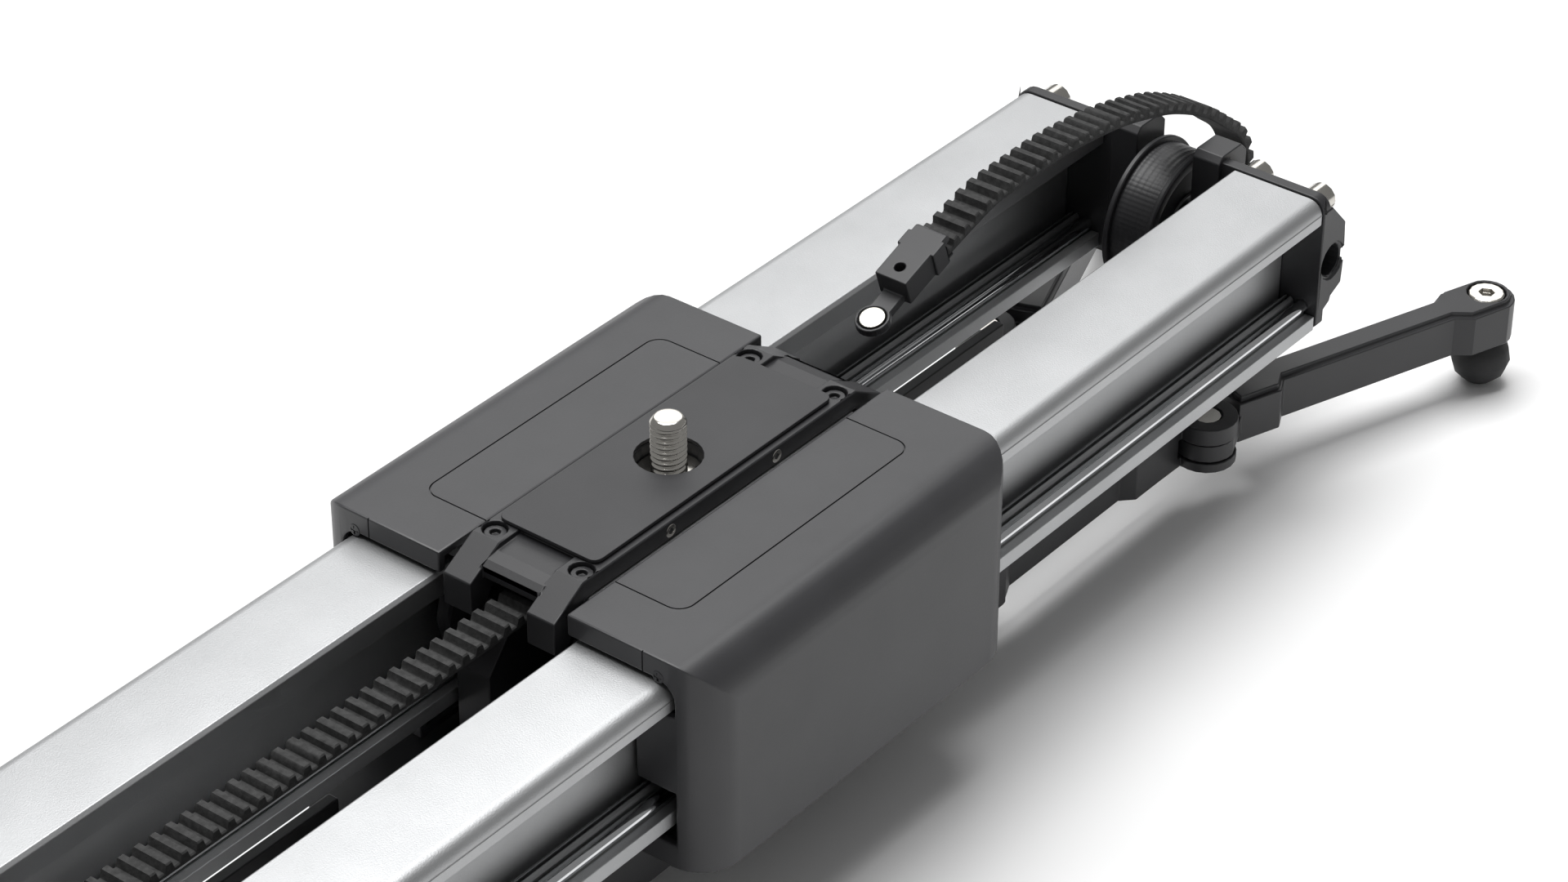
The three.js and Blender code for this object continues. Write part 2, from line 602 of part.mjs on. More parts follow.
function beltClip() {
  const low = -CLIP_HEIGHT;
  const side = [
    [0, low], [CLIP_LENGTH, low], [CLIP_LENGTH, -0.8], [CLIP_LENGTH - 0.8, 0], [0, 0],
  ];
  const neck = 3.2;
  const open = THREE.MathUtils.radToDeg(Math.asin(neck / RING_R));
  const tongue = [[1, -neck], [1, neck], ...arc(-ringAhead, 0, RING_R, open, 360 - open, 18)];
  const wing = roundRect(11.5, 17, -CLIP_HALF - 0.9, CLIP_HALF + 0.9, 0.8, 2);
  const solid = union(
    alongY(side, -CLIP_HALF - 0.9, CLIP_HALF + 0.9),
    alongZ(tongue, low, low + RING_THICK),
  );
  const waist = (s) => union(
    box(-1, 11.5, s * CLIP_HALF, s * (CLIP_HALF + 2), low - 1, 1),
    box(17, CLIP_LENGTH + 1, s * CLIP_HALF, s * (CLIP_HALF + 2), low - 1, 1),
  );
  const pocket = box(CLIP_LENGTH - 4, CLIP_LENGTH + 1, -BELT_HALF - GAP, BELT_HALF + GAP, -7.2, -2.4);
  return tilted(cut(
    solid.intersect(union(alongZ(wing, low - 1, 1), box(-20, CLIP_LENGTH + 1, -7, 7, low - 1, 1))),
    boxPair(waist),
    pocket,
    alongZ(circle(-ringAhead, 0, MAGNET_R + GAP, 24), low + 0.6, 1),
    alongZ(circle(4.5, 0, 1.5, 16), low - 1, 1),
  ));
}
const boxPair = (make) => union(make(1), make(-1));

function clipMagnet() {
  const low = -CLIP_HEIGHT + 0.6 + GAP;
  return tilted(alongZ(circle(-ringAhead, 0, MAGNET_R, 24), low, low + RING_THICK - 0.7));
}
place(bodies.rails, "belt_clip", beltClip(), BLACK_ANODISED);
place(bodies.rails, "clip_magnet", clipMagnet(), POLISHED_STEEL);

// ---- carriage -----------------------------------------------------------------------------------
const NOTCH_X = 52.5; // where the deck opens for the arms and the belt

function carriageFrame() {
  const wallIn = deckHalfWidth - DECK_WALL;
  const waist = wheelZ + 8;
  const low = wheelZ - 9;
  const side = [
    [-DECK_HALF, deckLow + 1], [-DECK_HALF, waist], [-CARRIAGE_WHEEL_X - 9, low],
    [9 - CARRIAGE_WHEEL_X, low], [20 - CARRIAGE_WHEEL_X, waist], [CARRIAGE_WHEEL_X - 20, waist],
    [CARRIAGE_WHEEL_X - 9, low], [CARRIAGE_WHEEL_X + 9, low], [DECK_HALF, waist],
    [DECK_HALF, deckLow + 1],
  ];
  const edge = COVER_OUT - COVER_ROUND; // where the cover's top edge starts to round down
  const inside = COVER_ROUND - COVER_WALL;
  const shoulder = deckHigh - inside + Math.sqrt(inside ** 2 - (deckHalfWidth - edge) ** 2) - GAP;
  const section = [
    [-deckHalfWidth, deckLow], [deckHalfWidth, deckLow], [deckHalfWidth, shoulder],
    [edge, deckHigh], [-edge, deckHigh], [-deckHalfWidth, shoulder],
  ];
  const parts = [
    alongX(section, -DECK_HALF, DECK_HALF),
    box(BELT_ANCHOR_X - 8, BELT_ANCHOR_X + 6, -8, 8, IDLER_Z + beltIn - 3, deckLow + 1),
  ];
  for (const s of [1, -1]) {
    parts.push(alongY(side, s * wallIn, s * deckHalfWidth));
    for (const x of [-CARRIAGE_WHEEL_X, CARRIAGE_WHEEL_X]) {
      const stub = circle(x, wheelZ, stubR, 16);
      parts.push(alongY(stub, s * (outerWheelY - WHEEL_WIDTH / 2), s * (wallIn + 1)));
    }
  }
  const holes = [
    box(BELT_ANCHOR_X - 9, BELT_ANCHOR_X + GAP, -BELT_HALF - GAP, BELT_HALF + GAP,
      IDLER_Z + beltIn - GAP, IDLER_Z + beltOut + GAP),
  ];
  for (const e of [1, -1]) {
    const notch = scaled(rect(NOTCH_X, DECK_HALF + 1, -ARM_OUT - 1, ARM_OUT + 1), e);
    holes.push(alongZ(notch, deckLow - 1, deckHigh + 1));
    for (const s of [1, -1]) {
      holes.push(alongZ(circle(e * BOLT_X, s * BOLT_Y, BOLT_R + GAP, 12), deckLow - 1, deckHigh + 1));
    }
  }
  return cut(union(...parts), ...holes);
}

// The raised middle: a flat seat for the plate, four sloping arms, and a bridge at each end.
function topFrame() {
  const arm = (e) => scaled([
    [30, frameLow], [NOTCH_X + 1, frameLow], [ARM_REACH - 5, 85], [ARM_REACH, 85],
    [ARM_REACH, 94.3], [54, frameTop], [30, frameTop],
  ], e);
  const bridge = (e) => scaled([
    [44, frameLow], [55, frameLow], [60.5, 94], [60.5, 97], [58.5, 98.3], [55, 99.2],
    [46.5, 99.5], [44, 99.5],
  ], e);
  const parts = [box(-46, 46, -ARM_OUT, ARM_OUT, frameLow, frameTop)];
  const holes = [alongZ(circle(0, 0, RECESS_R, 24), frameLow - 1, frameTop + 1)];
  for (const e of [1, -1]) {
    parts.push(alongY(bridge(e), -ARM_IN - 0.5, ARM_IN + 0.5));
    for (const s of [1, -1]) {
      parts.push(alongY(arm(e), s * ARM_IN, s * ARM_OUT));
      const x = e * BOLT_X;
      holes.push(alongZ(circle(x, s * BOLT_Y, BOLT_HEAD_R + GAP, 14), frameLow + 1.5, frameTop + 1));
      holes.push(alongZ(circle(x, s * BOLT_Y, BOLT_R + GAP, 12), frameLow - 1, frameTop));
    }
  }
  return cut(union(...parts), ...holes);
}

function mountingPlate() {
  const half = PLATE_WIDTH / 2;
  const outline = roundRect(-PLATE_LENGTH / 2, PLATE_LENGTH / 2, -half, half, PLATE_CORNER);
  return cut(
    alongZ(outline, PLATE_TOP - PLATE_THICK, PLATE_TOP),
    alongZ(circle(0, 0, RECESS_R, 24), 0, PLATE_TOP + 1),
  );
}

function cameraScrew() {
  const tip = PLATE_TOP + SCREW_RISE;
  const disc = RECESS_R - 0.5;
  const profile = [
    [0, frameLow], [disc, frameLow], [disc, frameLow + 1.8], [SCREW_R, frameLow + 1.8],
    [SCREW_R, tip - 1.3], [SCREW_R - 1.3, tip], [0, tip],
  ];
  return upright(profile, 0, 0, 20);
}

function frameBolt(x, y) {
  const seat = frameLow + 1.5 + GAP;
  const profile = [
    [0, deckLow + GAP], [BOLT_R, deckLow + GAP], [BOLT_R, seat], [BOLT_HEAD_R, seat],
    [BOLT_HEAD_R, seat + 2.4], [1.3, seat + 2.4], [1.3, seat + 1.2], [0, seat + 1.2],
  ];
  return upright(profile, x, y, 12);
}

// A side cover: a rounded shell whose end walls close round the rail that runs through it.
function coverForm(inset, half) {
  const out = COVER_OUT - inset;
  const top = COVER_TOP - inset;
  const r = COVER_ROUND - inset;
  const section = [
    [COVER_IN + inset, COVER_BOTTOM + inset], [out, COVER_BOTTOM + inset],
    ...arc(out - r, top - r, r, 0, 90, 8), [COVER_IN + inset, top],
  ];
  const plan = [
    [-half, 0], [half, 0], ...arc(half - r, out - r, r, 0, 90, 8),
    ...arc(r - half, out - r, r, 90, 180, 8),
  ];
  return (s) => alongX(scaled(section, s), -half, half)
    .intersect(alongZ(scaled(plan, 1, s), 0, PLATE_TOP));
}

function cover(s) {
  const half = CARRIAGE_LENGTH / 2;
  const inner = half - COVER_WALL;
  const out = railOut + SLIDE_GAP;
  const bay = railMiddle + WEB / 2 + SLIDE_GAP;
  const bayLow = rodZ + 4.5;
  const bayHigh = flangeLow - LIP - SLIDE_GAP;
  const round = RAIL_ROUND + SLIDE_GAP;
  const mouth = [
    [0, COVER_SILL], [out, COVER_SILL], [out, bayLow], [bay, bayLow], [bay, bayHigh],
    [out, bayHigh], ...arc(out - round, RAIL_TOP + SLIDE_GAP - round, round, 0, 90, 5),
    [0, RAIL_TOP + SLIDE_GAP],
  ];
  const under = rect(0, COVER_SILL_IN, 0, COVER_SILL + 1);
  const through = (points) => alongX(scaled(points, s), -half - 1, half + 1);
  const deckSide = alongX(scaled(rect(0, COVER_IN + COVER_WALL + 1, 0, COVER_TOP - COVER_WALL), s), -inner, inner);
  return cut(coverForm(0, half)(s), coverForm(COVER_WALL, inner)(s), through(mouth), through(under), deckSide);
}

place(bodies.carriage, "carriage_frame", carriageFrame(), SILVER_ANODISED);
place(bodies.carriage, "top_frame", topFrame(), BLACK_ANODISED);
place(bodies.carriage, "mounting_plate", mountingPlate(), COVER_BLACK);
place(bodies.carriage, "camera_screw", cameraScrew(), POLISHED_STEEL);
for (const [side, s] of Object.entries(SIDES)) {
  place(bodies.carriage, `${side}_cover`, cover(s), COVER_BLACK);
}
for (const { name, e, s } of corners) {
  place(bodies.carriage, `frame_bolt_${name}`, frameBolt(e * BOLT_X, s * BOLT_Y), BLACK_ANODISED);
}

export default slider;
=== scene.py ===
# %% [markdown]
# # A double-distance camera slider
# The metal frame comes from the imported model. This lesson gives each piece the surface that
# its real counterpart has: grooved covers, toothed belt, knurled idlers, cut threads.

# %% Frame
import json
import math
import bpy
import bmesh
import numpy as np
from mathutils import Matrix, Vector


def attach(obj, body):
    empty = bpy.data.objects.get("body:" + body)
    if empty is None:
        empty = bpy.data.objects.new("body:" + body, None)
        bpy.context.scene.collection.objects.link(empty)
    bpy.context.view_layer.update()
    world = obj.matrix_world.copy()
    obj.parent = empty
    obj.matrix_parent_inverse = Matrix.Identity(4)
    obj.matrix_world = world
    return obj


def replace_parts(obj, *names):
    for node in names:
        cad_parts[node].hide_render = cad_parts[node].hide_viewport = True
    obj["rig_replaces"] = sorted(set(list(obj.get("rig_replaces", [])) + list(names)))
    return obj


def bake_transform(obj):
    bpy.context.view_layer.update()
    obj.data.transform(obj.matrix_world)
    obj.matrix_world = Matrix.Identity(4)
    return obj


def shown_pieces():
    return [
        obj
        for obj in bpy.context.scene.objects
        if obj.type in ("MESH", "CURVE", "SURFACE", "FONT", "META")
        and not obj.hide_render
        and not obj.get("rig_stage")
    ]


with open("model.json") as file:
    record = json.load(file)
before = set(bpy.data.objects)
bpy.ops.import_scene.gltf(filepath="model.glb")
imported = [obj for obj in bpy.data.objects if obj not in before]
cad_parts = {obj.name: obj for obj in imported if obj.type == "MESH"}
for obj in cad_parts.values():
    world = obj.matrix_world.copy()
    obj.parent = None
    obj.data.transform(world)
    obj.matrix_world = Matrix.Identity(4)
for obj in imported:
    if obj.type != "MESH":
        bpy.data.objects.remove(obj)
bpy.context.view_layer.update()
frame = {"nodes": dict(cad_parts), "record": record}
MM = 0.001
print("CAD nodes:", len(frame["nodes"]))

# %% [markdown]
# ## Colours and one helper for nodes
# Shaders work in linear light while paint charts give sRGB, so one function converts.
# A second function adds a node with its settings and links.

# %% Colour and node helpers
def linear(code):
    """An sRGB hex colour as linear RGBA: c/12.92 near black, ((c+0.055)/1.055)^2.4 above."""
    c = np.array([int(code[i:i + 2], 16) / 255 for i in (1, 3, 5)])
    rgb = np.where(c <= 0.04045, c / 12.92, ((c + 0.055) / 1.055) ** 2.4)
    return (*rgb.tolist(), 1.0)


def add_node(tree, kind, settings=None, links=None, **values):
    """A node of that kind, with its properties, its socket values and its incoming links."""
    node = tree.nodes.new(kind)
    for key, value in (settings or {}).items():
        setattr(node, key, value)
    for key, value in values.items():
        node.inputs[key.replace("_", " ")].default_value = value
    for key, source in (links or {}).items():
        tree.links.new(source, node.inputs[key])
    return node


def mapped_noise(tree, size_mm, detail=3.0, stretch=(1, 1, 1)):
    """Noise whose grains are size_mm across on the object itself."""
    where = add_node(tree, "ShaderNodeTexCoord")
    mapping = add_node(tree, "ShaderNodeMapping", links={"Vector": where.outputs["Object"]})
    mapping.inputs["Scale"].default_value = stretch
    return add_node(tree, "ShaderNodeTexNoise", links={"Vector": mapping.outputs["Vector"]},
                    Scale=1000.0 / size_mm, Detail=detail)


def surface(name, dark, light, metallic, rough, grain_mm, bump_um, cloud_mm=18.0, rough_swing=0.06,
            detail=3.0):
    """A material whose colour drifts between two shades, with a fine grain that also tips the light.
    Colour = mix(dark, light, cloud noise); roughness = rough +- swing by the grain noise;
    height = grain noise times bump_um micrometres."""
    material = bpy.data.materials.new(name)
    material.use_nodes = True
    tree = material.node_tree
    shader = tree.nodes["Principled BSDF"]
    shader.inputs["Metallic"].default_value = metallic
    cloud = mapped_noise(tree, cloud_mm, 4.0)
    grain = mapped_noise(tree, grain_mm, detail)
    ramp = add_node(tree, "ShaderNodeValToRGB", links={"Fac": cloud.outputs["Fac"]})
    ramp.color_ramp.elements[0].position, ramp.color_ramp.elements[1].position = 0.3, 0.7
    ramp.color_ramp.elements[0].color = linear(dark)
    ramp.color_ramp.elements[1].color = linear(light)
    tree.links.new(ramp.outputs["Color"], shader.inputs["Base Color"])
    swing = add_node(tree, "ShaderNodeMapRange", links={"Value": grain.outputs["Fac"]},
                     To_Min=rough - rough_swing, To_Max=rough + rough_swing)
    tree.links.new(swing.outputs["Result"], shader.inputs["Roughness"])
    bump = add_node(tree, "ShaderNodeBump", links={"Height": grain.outputs["Fac"]},
                    Strength=0.5, Distance=bump_um * 1e-6)
    tree.links.new(bump.outputs["Normal"], shader.inputs["Normal"])
    return material

# %% [markdown]
# ## Finishes
# Nearly everything is aluminium: sandblasted and clear anodised for the rails, bead-blasted and
# dyed black for the brackets and legs. The covers are moulded glass-filled nylon, and the
# screws and rods are stainless steel. Each finish takes its grain from that process.

# %% Materials
# blasting grit leaves a soft, even sheen on a silver anodised face
SILVER = surface("sandblasted_clear_anodised_aluminium", "#b3b4b5", "#b9babb", 1.0, 0.5, 0.45, 110)
# bead blasting leaves a satin black with a soft broad highlight
BLACK = surface("bead_blasted_black_anodised_aluminium", "#262628", "#2c2c2e", 0.0, 0.4, 0.5, 22)
# fine spark-eroded mould texture: darker and flatter than the metal
NYLON = surface("spark_textured_moulded_nylon", "#353537", "#3a3a3c", 0.0, 0.42, 0.45, 26)
# brushed grip face of the plate
GRIP = surface("fine_textured_black_grip_plate", "#2a2a2c", "#303032", 0.0, 0.5, 0.4, 35)
# a fine turning finish: smooth enough for hard highlights, with a slight warm tint
STEEL = surface("turned_polished_stainless_steel", "#c4c1bb", "#d6d3cc", 1.0, 0.17, 0.8, 1,
                rough_swing=0.03)
# ground and plated, so brighter, colder and smoother than the screws
CHROME = surface("ground_hard_chromed_rod", "#d4d6d8", "#e4e5e6", 1.0, 0.1, 1.2, 3)
# moulded rubber scatters almost everything it reflects
RUBBER = surface("moulded_black_rubber", "#1c1c1d", "#242425", 0.0, 0.7, 0.7, 30)
# the woven facing breaks up light in a coarse, soft grain
FABRIC = surface("nylon_fabric_faced_belt", "#232323", "#3b3b3b", 0.0, 0.82, 0.6, 220, 1.6, 0.08, 5.0)
# nickel plate, a shade yellower than steel
MAGNET = surface("nickel_plated_magnet", "#b9b6ae", "#cbc8c0", 1.0, 0.22, 0.9, 5)
print("finishes:", len(bpy.data.materials))

# %% [markdown]
# ## A machined edge on every frame piece
# The frame's meshes are loose triangles. A copy is merged, and flat pairs are joined into
# four-sided faces. A small bevel then breaks each sharp edge, as a real tool or mould does.
# The copy stands for its node.

# %% Finishing a frame piece
def merged_mesh(node):
    """A copy of a node's mesh with its vertices merged and flat pairs of triangles joined."""
    bm = bmesh.new()
    bm.from_mesh(frame["nodes"][node].data)
    bmesh.ops.remove_doubles(bm, verts=bm.verts, dist=3e-6)
    bmesh.ops.join_triangles(bm, faces=bm.faces, angle_face_threshold=math.radians(0.5),
                             angle_shape_threshold=math.radians(180))
    mesh = bpy.data.meshes.new(node + "_finish")
    bm.to_mesh(mesh)
    bm.free()
    return mesh


def smooth_by_angle(mesh, degrees=20):
    """Smooth faces, with an edge kept sharp where its two faces turn more than the angle."""
    bm = bmesh.new()
    bm.from_mesh(mesh)
    for face in bm.faces:
        face.smooth = True
    for edge in bm.edges:
        edge.smooth = len(edge.link_faces) == 2 and edge.calc_face_angle(0) < math.radians(degrees)
    bm.to_mesh(mesh)
    bm.free()


def finish_frame_piece(node, material, body, edge_mm=0.3, name=None, cutters=(), turn=20):
    """The node's merged copy with edges broken, cuts made and a finish, riding on its body.
    Faces that turn by less than turn degrees are shaded as one curve."""
    mesh = merged_mesh(node)
    piece = bpy.data.objects.new(name or node + "_finished", mesh)
    bpy.context.scene.collection.objects.link(piece)
    smooth_by_angle(mesh, turn)
    mesh.materials.clear()
    mesh.materials.append(material)
    if edge_mm:
        bevel = piece.modifiers.new("broken_edge", "BEVEL")
        bevel.width = edge_mm * MM
        bevel.segments = 2
        bevel.limit_method = "ANGLE"
        bevel.angle_limit = math.radians(38)
        bevel.use_clamp_overlap = False
        bevel.loop_slide = False
        bevel.harden_normals = not cutters
    for cutter in cutters:
        cut_away(piece, cutter)
    if cutters:
        smooth_by_angle(piece.data, turn)
    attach(piece, body)
    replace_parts(piece, node)
    return piece


def cut_away(piece, cutter):
    """Takes the cutter's volume out of the piece, then removes the cutter."""
    boolean = piece.modifiers.new("cut", "BOOLEAN")
    boolean.operation, boolean.object, boolean.solver = "DIFFERENCE", cutter, "EXACT"
    bpy.context.view_layer.update()
    graph = bpy.context.evaluated_depsgraph_get()
    made = bpy.data.meshes.new_from_object(piece.evaluated_get(graph))
    piece.modifiers.clear()
    piece.data = made
    bpy.data.objects.remove(cutter)


# %% [markdown]
# ## Surfaces on a grid
# Every new piece is a grid of points worked out in one go. The grid is closed round one way,
# and its two ends are capped, so each piece is a closed solid.

# %% Grid helper
def grid_piece(name, points, material, body=None, turn=40, round_both=False):
    """A closed tube from points[i, j]: rings i, closed round j, with an n-gon cap on each end.
    round_both also closes the last ring on the first, and adds no caps. Faces that turn by less
    than turn degrees are shaded as one curve, and none are when it is 0."""
    n, m = points.shape[:2]
    index = np.arange(n * m).reshape(n, m)
    nxt = np.roll(index, -1, axis=1)
    below = np.roll(index, -1, axis=0) if round_both else index[1:]
    below_next = np.roll(nxt, -1, axis=0) if round_both else nxt[1:]
    start, start_next = (index, nxt) if round_both else (index[:-1], nxt[:-1])
    quads = np.stack([start, start_next, below_next, below], axis=-1).reshape(-1, 4)
    faces = quads.tolist()
    if not round_both:
        faces += [index[0][::-1].tolist(), index[-1].tolist()]
    mesh = bpy.data.meshes.new(name)
    mesh.from_pydata(points.reshape(-1, 3).tolist(), [], faces)
    bm = bmesh.new()
    bm.from_mesh(mesh)
    bmesh.ops.recalc_face_normals(bm, faces=bm.faces)
    bm.to_mesh(mesh)
    bm.free()
    if turn:
        smooth_by_angle(mesh, turn)
    mesh.materials.append(material)
    piece = bpy.data.objects.new(name, mesh)
    bpy.context.scene.collection.objects.link(piece)
    if body:
        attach(piece, body)
    return piece

# %% [markdown]
# ## Camera
# The lens and the place are set so that the slider fills the frame at the same angle, from
# above the near right corner.

# %% Camera, floor and light
RIGHT = Vector((0.6200, -0.7846, 0.0013)).normalized()
BACKWARD = Vector((-0.6520, -0.5144, 0.5571)).normalized()
BACKWARD = (BACKWARD - RIGHT * BACKWARD.dot(RIGHT)).normalized()
UPWARD = BACKWARD.cross(RIGHT)
camera = bpy.data.objects.new("camera", bpy.data.cameras.new("camera"))
bpy.context.scene.collection.objects.link(camera)
camera.data.lens, camera.data.sensor_width = 100.07, 36.0
camera.data.clip_start, camera.data.clip_end = 0.01, 20
camera.matrix_world = Matrix((
    (RIGHT.x, UPWARD.x, BACKWARD.x, -0.694747),
    (RIGHT.y, UPWARD.y, BACKWARD.y, -0.584910),
    (RIGHT.z, UPWARD.z, BACKWARD.z, 0.715043),
    (0, 0, 0, 1),
))
bpy.context.scene.camera = camera

floor_mesh = bpy.data.meshes.new("floor")
floor_mesh.from_pydata([(-8, -8, 0), (8, -8, 0), (8, 8, 0), (-8, 8, 0)], [], [(0, 1, 2, 3)])
floor = bpy.data.objects.new("floor", floor_mesh)
floor_mesh.materials.append(surface("matt_white_sweep", "#f2f2f2", "#f6f6f6", 0.0, 0.9, 3.0, 20, 200.0))
bpy.context.scene.collection.objects.link(floor)
floor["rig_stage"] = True

world = bpy.data.worlds.new("studio")
world.use_nodes = True
world.node_tree.nodes["Background"].inputs["Color"].default_value = (1.0, 1.0, 1.0, 1.0)
world.node_tree.nodes["Background"].inputs["Strength"].default_value = 0.25
bpy.context.scene.world = world


def softbox(name, place, aim, width, height, watts):
    """A rectangular area light at a place, turned to face a point."""
    lamp = bpy.data.objects.new(name, bpy.data.lights.new(name, "AREA"))
    lamp.data.shape, lamp.data.size, lamp.data.size_y = "RECTANGLE", width, height
    lamp.data.energy = watts
    lamp.location = place
    lamp.rotation_euler = (Vector(aim) - Vector(place)).to_track_quat("-Z", "Y").to_euler()
    bpy.context.scene.collection.objects.link(lamp)
    return lamp


softbox("overhead_softbox", (0.2, 0.5, 2.4), (0, 0, 0.1), 2.2, 1.6, 72)
softbox("back_softbox", (1.5, 1.3, 1.35), (0, 0, 0.1), 1.9, 0.9, 9)
bpy.context.scene.view_settings.view_transform = "Standard"

# %% [markdown]
# ## Toothed belt
# The belt is a fabric-faced rubber belt with 5 mm teeth on its outside. Its section is swept
# along a path, and the outer side rises and falls with the distance along it.

# %% Belt
IDLER_X, IDLER_Z, BACK_R = 226.8, 64.7, 21.9
BELT_HALF, BELT_BACK, TOOTH, PITCH = 5.35, 1.5, 2.1, 5.0
MID_BELT = 1.8  # from the back of the belt to the middle of its full thickness


def arc_points(x, z, radius, first, last, count):
    """Points at (x + r cos a, z + r sin a), with a running evenly from first to last in degrees."""
    a = np.radians(np.linspace(first, last, count))
    return np.stack([x + radius * np.cos(a), z + radius * np.sin(a)], axis=1)


def even_path(points, step):
    """The same path with points at an even spacing, by linear interpolation on its length."""
    length = np.concatenate([[0], np.cumsum(np.linalg.norm(np.diff(points, axis=0), axis=1))])
    s = np.linspace(0, length[-1], max(2, int(length[-1] / step)))
    return np.stack([np.interp(s, length, points[:, k]) for k in (0, 1)], axis=1), s


def spline(points, per_span=24):
    """A Catmull-Rom curve: Hermite spans with slopes taken from each point's two neighbours."""
    slope = np.gradient(points, axis=0)
    t = np.linspace(0, 1, per_span, endpoint=False)[None, :, None]
    p, q = points[:-1, None], points[1:, None]
    a, b = slope[:-1, None], slope[1:, None]
    span = ((2 * t**3 - 3 * t**2 + 1) * p + (t**3 - 2 * t**2 + t) * a
            + (3 * t**2 - 2 * t**3) * q + (t**3 - t**2) * b)
    return np.concatenate([span.reshape(-1, 2), points[-1:]])


def belt(name, back_line, offset=0.0):
    """A strip whose back follows back_line, with teeth on the right-hand side of its travel.
    Height over the back = back + tooth * ease(clamp(0.5 + 1.5 cos(2 pi s / pitch), 0, 1)), where
    ease(c) = c * c * (3 - 2 c)."""
    path, s = even_path(back_line, PITCH / 14)
    tangent = np.gradient(path, axis=0)
    tangent /= np.linalg.norm(tangent, axis=1, keepdims=True)
    normal = np.stack([tangent[:, 1], -tangent[:, 0]], axis=1)
    crest = np.clip(0.5 + 1.5 * np.cos(2 * np.pi * (s - offset) / PITCH), 0, 1)
    crest = crest * crest * (3 - 2 * crest)
    height = BELT_BACK + TOOTH * crest
    round_off, w = 0.35, BELT_HALF
    y = np.array([-w, -w + round_off, w - round_off, w, w, w - round_off, -w + round_off, -w])
    low = np.array([round_off, 0, 0, round_off, 0, 0, 0, 0])
    up = np.array([0, 0, 0, 0, 1, 1, 1, 1])
    drop = np.array([0, 0, 0, 0, round_off, 0, 0, round_off])
    lift = low[None, :] + up[None, :] * height[:, None] - drop[None, :]
    x = path[:, :1] + normal[:, :1] * lift
    z = path[:, 1:] + normal[:, 1:] * lift
    points = np.stack([x, np.broadcast_to(y, x.shape), z], axis=-1) * MM
    piece = grid_piece(name, points, FABRIC)
    return piece


loop_line = np.concatenate([
    arc_points(-IDLER_X, IDLER_Z, BACK_R, 90, 270, 60),
    arc_points(IDLER_X, IDLER_Z, BACK_R, -90, -48, 16),
])
loop = belt("toothed_belt_loop", loop_line)
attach(loop, "rails")
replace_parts(loop, "belt_loop")

near_line = np.array([[12.0, IDLER_Z + BACK_R], [-IDLER_X + 0.3, IDLER_Z + BACK_R]])
near = belt("toothed_belt_near_run", near_line)
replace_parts(near, "belt_near_run")
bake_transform(near)

CLIP_X, CLIP_Z, TILT = 91.85, 109.6, math.radians(19.5)


def clip_point(u, w):
    """A point u back along the clip's top and w above it, in the slider's side view."""
    return [CLIP_X + u * math.cos(TILT) - w * math.sin(TILT),
            CLIP_Z + u * math.sin(TILT) + w * math.cos(TILT)]


middle = np.array(arc_points(IDLER_X, IDLER_Z, BACK_R + MID_BELT, -46.5, -40, 2).tolist() + [
    [258.6, 62.5], [261.2, 71.6], [256.6, 81.4], [248.2, 88.6], [235.6, 98], [220, 106],
    [207.4, 110.3], [192.4, 114.1], [178, 116.2], [164.2, 117.5], [150, 117.5], [140.7, 117.4],
    [134, 117.1], [127, 115.8], [118.5, 113.4], clip_point(17.8, -4.8)])
middle_line, _ = even_path(spline(middle), 0.5)
along = np.gradient(middle_line, axis=0)
along /= np.linalg.norm(along, axis=1, keepdims=True)
back_line = middle_line - MID_BELT * np.stack([along[:, 1], -along[:, 0]], axis=1)
free = belt("toothed_belt_free_arc", back_line)
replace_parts(free, "belt_free_arc")
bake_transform(free)
print("belt faces:", [len(o.data.polygons) for o in (loop, near, free)])

# %% [markdown]
# ## Camera screw
# A 3/8 inch screw has sixteen threads to the inch. Its surface is a screw: the radius depends
# on height and angle together, so one formula makes the whole thread.

# %% Camera screw
SCREW_R, SCREW_PITCH, THREAD = 4.7625, 25.4 / 16, 0.62
PLATE_TOP, SCREW_RISE, DECK = 102.0, 11.5, 95.5


def threaded_screw():
    """Radius = crest - depth * a triangle wave of (z / pitch - angle / turn), clipped flat at
    crest and root, and faded at the tip and the base."""
    turn = np.linspace(0, 2 * np.pi, 96, endpoint=False)[None, :]
    z = np.concatenate([[DECK, DECK + 1.8], np.arange(DECK + 1.81, PLATE_TOP + SCREW_RISE - 1.3, 0.13)])
    tip = PLATE_TOP + SCREW_RISE
    saw = np.abs(((z[:, None] / SCREW_PITCH - turn / (2 * np.pi)) % 1) * 2 - 1)
    fade = np.clip((tip - 1.3 - z[:, None]) / 0.6, 0, 1) * np.clip((z[:, None] - DECK - 1.8) / 0.6, 0, 1)
    radius = SCREW_R - THREAD * 1.6 * np.clip(saw - 0.12, 0, 0.75) * fade
    disc = np.array([8.2, 8.4])[:, None] * np.ones_like(turn)
    radius[:2] = disc
    top_z = np.array([tip - 1.0, tip - 0.35, tip - 0.05, tip])
    top_r = np.array([4.5, 3.95, 3.7, 3.3])[:, None] * np.ones_like(turn)
    z, radius = np.concatenate([z, top_z]), np.concatenate([radius, top_r])
    x, y = radius * np.cos(turn), radius * np.sin(turn)
    return np.stack([x, y, np.broadcast_to(z[:, None], x.shape)], axis=-1) * MM


screw = grid_piece("threaded_camera_screw", threaded_screw(), STEEL, "camera_screw", 60)
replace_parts(screw, "camera_screw")

# %% [markdown]
# ## Idlers
# Each idler is turned from one bar, with raised flanges and a knurled drum, and has a bearing
# in its middle. Its profile goes round the axle as a closed ring, so the bore stays open.

# %% Idlers
DRUM_R = 21.6
KNURL_PITCH, KNURL_HEIGHT = 1.4, 0.1


